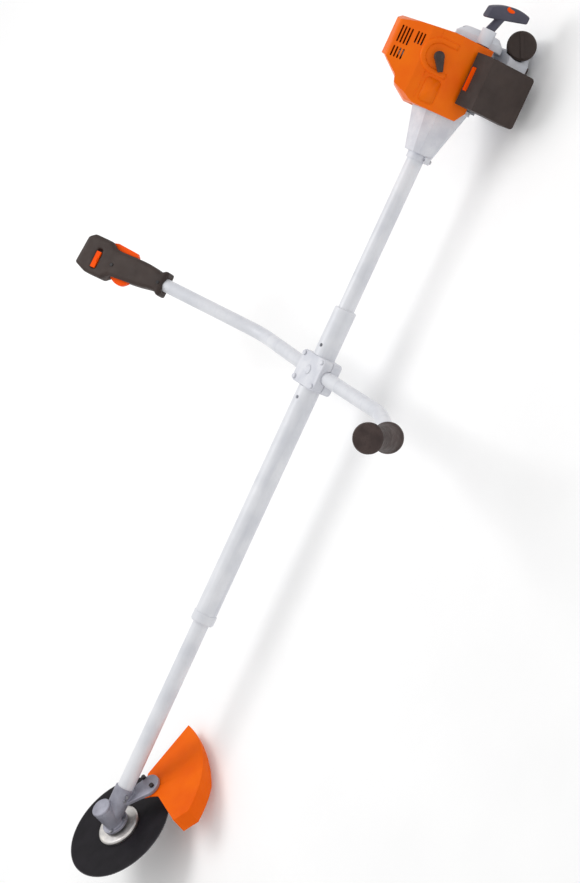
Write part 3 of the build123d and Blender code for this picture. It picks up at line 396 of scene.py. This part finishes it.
def swept(shape, rings):
    """Skin a row of equal rings of points into one tube with closed ends."""
    rows = [[shape.verts.new(point) for point in ring] for ring in rings]
    size = len(rings[0])
    for first, second in zip(rows, rows[1:]):
        for step in range(size):
            following = (step + 1) % size
            shape.faces.new((first[step], first[following], second[following], second[step]))
    shape.faces.new(rows[0])
    shape.faces.new(rows[-1])


def ridge(shape, path, face_normal, profile):
    """Sweep a (across, height) profile along a path that lies on a flat face."""
    rings = []
    for index, point in enumerate(path):
        ahead = path[min(index + 1, len(path) - 1)]
        behind = path[max(index - 1, 0)]
        across = (ahead - behind).normalized().cross(face_normal)
        ring = []
        for offset, height in profile:
            ring.append(point + across * offset * MM + face_normal * height * MM)
        rings.append(ring)
    swept(shape, rings)


def softened(name, nodes, voxel, rounds):
    """Rebuild CAD castings or mouldings as one skin with rounded edges and fillets."""
    shape = bmesh.new()
    for node in nodes:
        shape.from_mesh(frame["nodes"][node].data)
    mesh = bpy.data.meshes.new(name)
    shape.to_mesh(mesh)
    shape.free()
    piece = placed(name, mesh)
    welded(piece)
    remesh = piece.modifiers.new("remesh", "REMESH")
    remesh.mode = "VOXEL"
    remesh.voxel_size = voxel * MM
    remesh.use_smooth_shade = True
    smooth = piece.modifiers.new("smooth", "SMOOTH")
    smooth.factor = 0.5
    smooth.iterations = rounds
    graph = bpy.context.evaluated_depsgraph_get()
    made = bpy.data.meshes.new_from_object(piece.evaluated_get(graph))
    piece.modifiers.clear()
    piece.data = made
    slot = slot_of[nodes[0]]
    dress(piece, slot)
    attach(piece, body_of(nodes[0]))
    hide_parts(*nodes)


# Name, CAD nodes, voxel in millimetres and rounds of smoothing.
SKINS = (
    ("gear_casting", ("gear_housing",), 0.9, 6),
    ("control_handle", ("control_handle_front", "control_handle_back"), 1.5, 44),
    ("clamp_top", ("clamp_front_half",), 0.8, 3),
    ("clamp_bottom", ("clamp_back_half",), 0.8, 3),
    ("trigger_blade", ("throttle_trigger",), 0.6, 5),
    ("lock_blade", ("throttle_lock",), 0.6, 5),
    ("pull_grip", ("starter_grip",), 0.8, 8),
    ("choke_lever", ("choke_knob",), 0.5, 4),
    ("clamp_bolt_heads", ("clamp_bolts",), 0.4, 3),
)
for skin in SKINS:
    softened(*skin)

# ---------------------------------------------------------------- shroud relief
FACE_SLOPE = Vector((0, 25, 60)).normalized()
FACE_NORMAL = Vector((0, -FACE_SLOPE.z, FACE_SLOPE.y))
KNOB_CENTRE = at(677, -70, 60) + FACE_SLOPE * 33 * MM
RIM_RADIUS = 31.0
RIM_ARC_STEPS = 32
RIM_LEG_DROPS = (-30, -22, -14, -7)
RIM_PROFILE = [(-6, -6), (-6, 0.6), (-4.5, 2.2), (-2, 3), (2, 3), (4.5, 2.2), (6, 0.6), (6, -6)]


def knob_surround():
    """Raised horseshoe rim round the choke knob, open towards the air filter."""
    path = []
    along = Vector((1, 0, 0))
    for drop in RIM_LEG_DROPS:
        path.append(KNOB_CENTRE + along * RIM_RADIUS * MM + FACE_SLOPE * drop * MM)
    for index in range(RIM_ARC_STEPS + 1):
        angle = math.pi * index / RIM_ARC_STEPS
        path.append(KNOB_CENTRE + (along * math.cos(angle) + FACE_SLOPE * math.sin(angle)) * RIM_RADIUS * MM)
    for drop in reversed(RIM_LEG_DROPS):
        path.append(KNOB_CENTRE - along * RIM_RADIUS * MM + FACE_SLOPE * drop * MM)
    shape = bmesh.new()
    ridge(shape, path, FACE_NORMAL, RIM_PROFILE)
    piece_from("shroud_knob_rim", shape, "orange_shroud", "frame")


JOINT_SPANS = ((-92, -37), (37, 50))
JOINT_RISE = 12
JOINT_STEPS = 8
JOINT_PROFILE = [(-0.9, -2), (-0.9, 0.3), (-0.4, 0.7), (0.4, 0.7), (0.9, 0.3), (0.9, -2)]


def shroud_seams():
    """Raised joint line along the shroud, broken by the knob's rim."""
    shape = bmesh.new()
    for start, end in JOINT_SPANS:
        path = []
        for index in range(JOINT_STEPS + 1):
            share = start + (end - start) * index / JOINT_STEPS
            path.append(KNOB_CENTRE + Vector((share, 0, 0)) * MM + FACE_SLOPE * JOINT_RISE * MM)
        ridge(shape, path, FACE_NORMAL, JOINT_PROFILE)
    piece_from("shroud_joint_line", shape, "orange_shroud", "frame")


PANEL_CENTRE = KNOB_CENTRE + Vector((-68, 0, 0)) * MM - FACE_SLOPE * 12 * MM
PANEL_HALF_X = 24
PANEL_HALF_Y = 15
PANEL_CORNER = 7.0
PANEL_HEIGHT = 1.6
PANEL_LEVELS = ((1.6, -2), (1.6, 0.2), (0.6, PANEL_HEIGHT * 0.75), (-0.6, PANEL_HEIGHT))
PANEL_STEPS = 40


def panel_reach(half, share, grow):
    """How far the panel's outline goes along one axis, for a cosine or sine of the turn."""
    straight = math.copysign(half - PANEL_CORNER, share)
    return straight + share * PANEL_CORNER + math.copysign(grow, share) * abs(share)


def shroud_panels():
    """Low raised panel with rounded corners and sloping sides, below the knob's rim."""
    rings = []
    for grow, level in PANEL_LEVELS:
        ring = []
        for index in range(PANEL_STEPS):
            angle = 2 * math.pi * (index + 0.5) / PANEL_STEPS
            along = Vector((panel_reach(PANEL_HALF_X, math.cos(angle), grow), 0, 0)) * MM
            up = FACE_SLOPE * panel_reach(PANEL_HALF_Y, math.sin(angle), grow) * MM
            ring.append(PANEL_CENTRE + along + up + FACE_NORMAL * level * MM)
        rings.append(ring)
    shape = bmesh.new()
    swept(shape, rings)
    piece_from("shroud_panels", shape, "orange_shroud", "frame")


knob_surround()
shroud_seams()
shroud_panels()


# ---------------------------------------------------------------- starter grip inlay
INLAY_STEPS = 36
INLAY_HALF_WIDTH = 5.5
INLAY_HALF_HEIGHT = 10.5
INLAY_LEVELS = ((1.0, -9.0), (1.0, 0.2), (0.93, 0.8), (0.8, 1.1), (0.4, 1.25))


def grip_inlay():
    """Oval plug let into the outer face of the starter grip."""
    low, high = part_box("starter_grip")
    centre = Vector((high.x - 8.5 * MM, low.y + 0.6 * MM, (low.z + high.z) / 2 + 3 * MM))
    outward = Vector((0.35, -1, 0)).normalized()
    across = Vector((1, 0.35, 0)).normalized()
    shape = bmesh.new()
    rings = []
    for scale, depth in INLAY_LEVELS:
        ring = []
        for index in range(INLAY_STEPS):
            angle = 2 * math.pi * index / INLAY_STEPS
            width = math.cos(angle) * INLAY_HALF_WIDTH * scale
            rise = Vector((0, 0, math.sin(angle) * INLAY_HALF_HEIGHT * scale))
            ring.append(centre + (outward * depth + across * width + rise) * MM)
        rings.append(ring)
    swept(shape, rings)
    piece_from("starter_grip_inlay", shape, "orange_control", "starter")


grip_inlay()


# ---------------------------------------------------------------- fuel cap fluting
CAP_AXIS = (0.118, -0.827, 0.549)
CAP_CENTRE = (772, -62, -77)
CAP_RADIUS = 29.6
FLUTES = 30
FLUTE_LEVELS = ((-14.5, 0.4), (-13, 1.0), (-7, 1.0), (-5.5, 0.4))
FLUTE_FOOT = 1.3
FLUTE_CREST = 0.7


def cap_flutes():
    """Small ribs round the fuel cap's rim."""
    axis = Vector(CAP_AXIS).normalized()
    centre = at(*CAP_CENTRE)
    side = axis.orthogonal().normalized()
    across = axis.cross(side)
    shape = bmesh.new()
    for index in range(FLUTES):
        angle = 2 * math.pi * index / FLUTES
        out = side * math.cos(angle) + across * math.sin(angle)
        flank = axis.cross(out)
        rings = []
        foot = flank * FLUTE_FOOT * MM
        crest = flank * FLUTE_CREST * MM
        for depth, swell in FLUTE_LEVELS:
            middle = centre + axis * depth * MM + out * CAP_RADIUS * MM
            top = middle + out * swell * 0.5 * MM
            rings.append([middle - foot, top - crest, top + crest, middle + foot])
        swept(shape, rings)
    piece_from("fuel_cap_flutes", shape, "dark_housing", "cap")


cap_flutes()


# ---------------------------------------------------------------- floor, light and camera
FLOOR_REACH = 30.0


def floor():
    """Plain pale ground under the machine."""
    mesh = bpy.data.meshes.new("floor")
    signs = ((-1, -1), (1, -1), (1, 1), (-1, 1))
    corners = [(x * FLOOR_REACH, y * FLOOR_REACH, 0) for x, y in signs]
    mesh.from_pydata(corners, [], [(0, 1, 2, 3)])
    ground = placed("floor", mesh)
    finish = Finish("floor_plaster")
    finish.paint(finish.noise(3, 3), [tint(250, 250, 250), tint(253, 253, 253)])
    mesh.materials.append(finish.done(finish.noise(2, 2), 0.85, 0.95))


SKY_STRENGTH = 0.76
KEY_PLACE, KEY_SIZE, KEY_POWER = (0.2, 1.4, 3.2), 2.2, 46
FILL_PLACE, FILL_SIZE, FILL_POWER = (1.2, -3.0, 2.6), 2.5, 8


def softbox(name, place, size, power):
    """Round area light aimed at the middle of the machine."""
    light = bpy.data.lights.new(name, "AREA")
    light.shape = "DISK"
    light.size = size
    light.energy = power
    lamp = placed(name, light)
    lamp.location = place
    lamp.rotation_mode = "QUATERNION"
    lamp.rotation_quaternion = (-Vector(place)).to_track_quat("-Z", "Y")


def studio():
    """Even white surroundings, a broad key from above and a fill from the camera's side."""
    world = bpy.data.worlds.new("studio")
    bpy.context.scene.world = world
    world.use_nodes = True
    background = world.node_tree.nodes["Background"]
    background.inputs["Color"].default_value = (1, 1, 1, 1)
    background.inputs["Strength"].default_value = SKY_STRENGTH
    softbox("key", KEY_PLACE, KEY_SIZE, KEY_POWER)
    softbox("fill", FILL_PLACE, FILL_SIZE, FILL_POWER)


CAMERA_BACK = Vector((0.11848, -0.82727, 0.54919))
CAMERA_UP = Vector((0.90133, 0.32166, 0.29008))
CAMERA_PLACE = (380.3, -3722.7, 2460.5)
CAMERA_LENS = 88.96


def camera():
    """Camera at the photograph's angle."""
    data = bpy.data.cameras.new("camera")
    data.lens = CAMERA_LENS
    data.sensor_width = 36
    data.sensor_fit = "AUTO"
    data.clip_end = 100
    eye = placed("camera", data)
    right = CAMERA_UP.cross(CAMERA_BACK).normalized()
    up = CAMERA_BACK.cross(right)
    turn = Matrix((right, up, CAMERA_BACK)).transposed()
    eye.matrix_world = Matrix.Translation(at(*CAMERA_PLACE)) @ turn.to_4x4()
    bpy.context.scene.camera = eye


floor()
studio()
camera()
bpy.context.scene.view_settings.view_transform = "Standard"
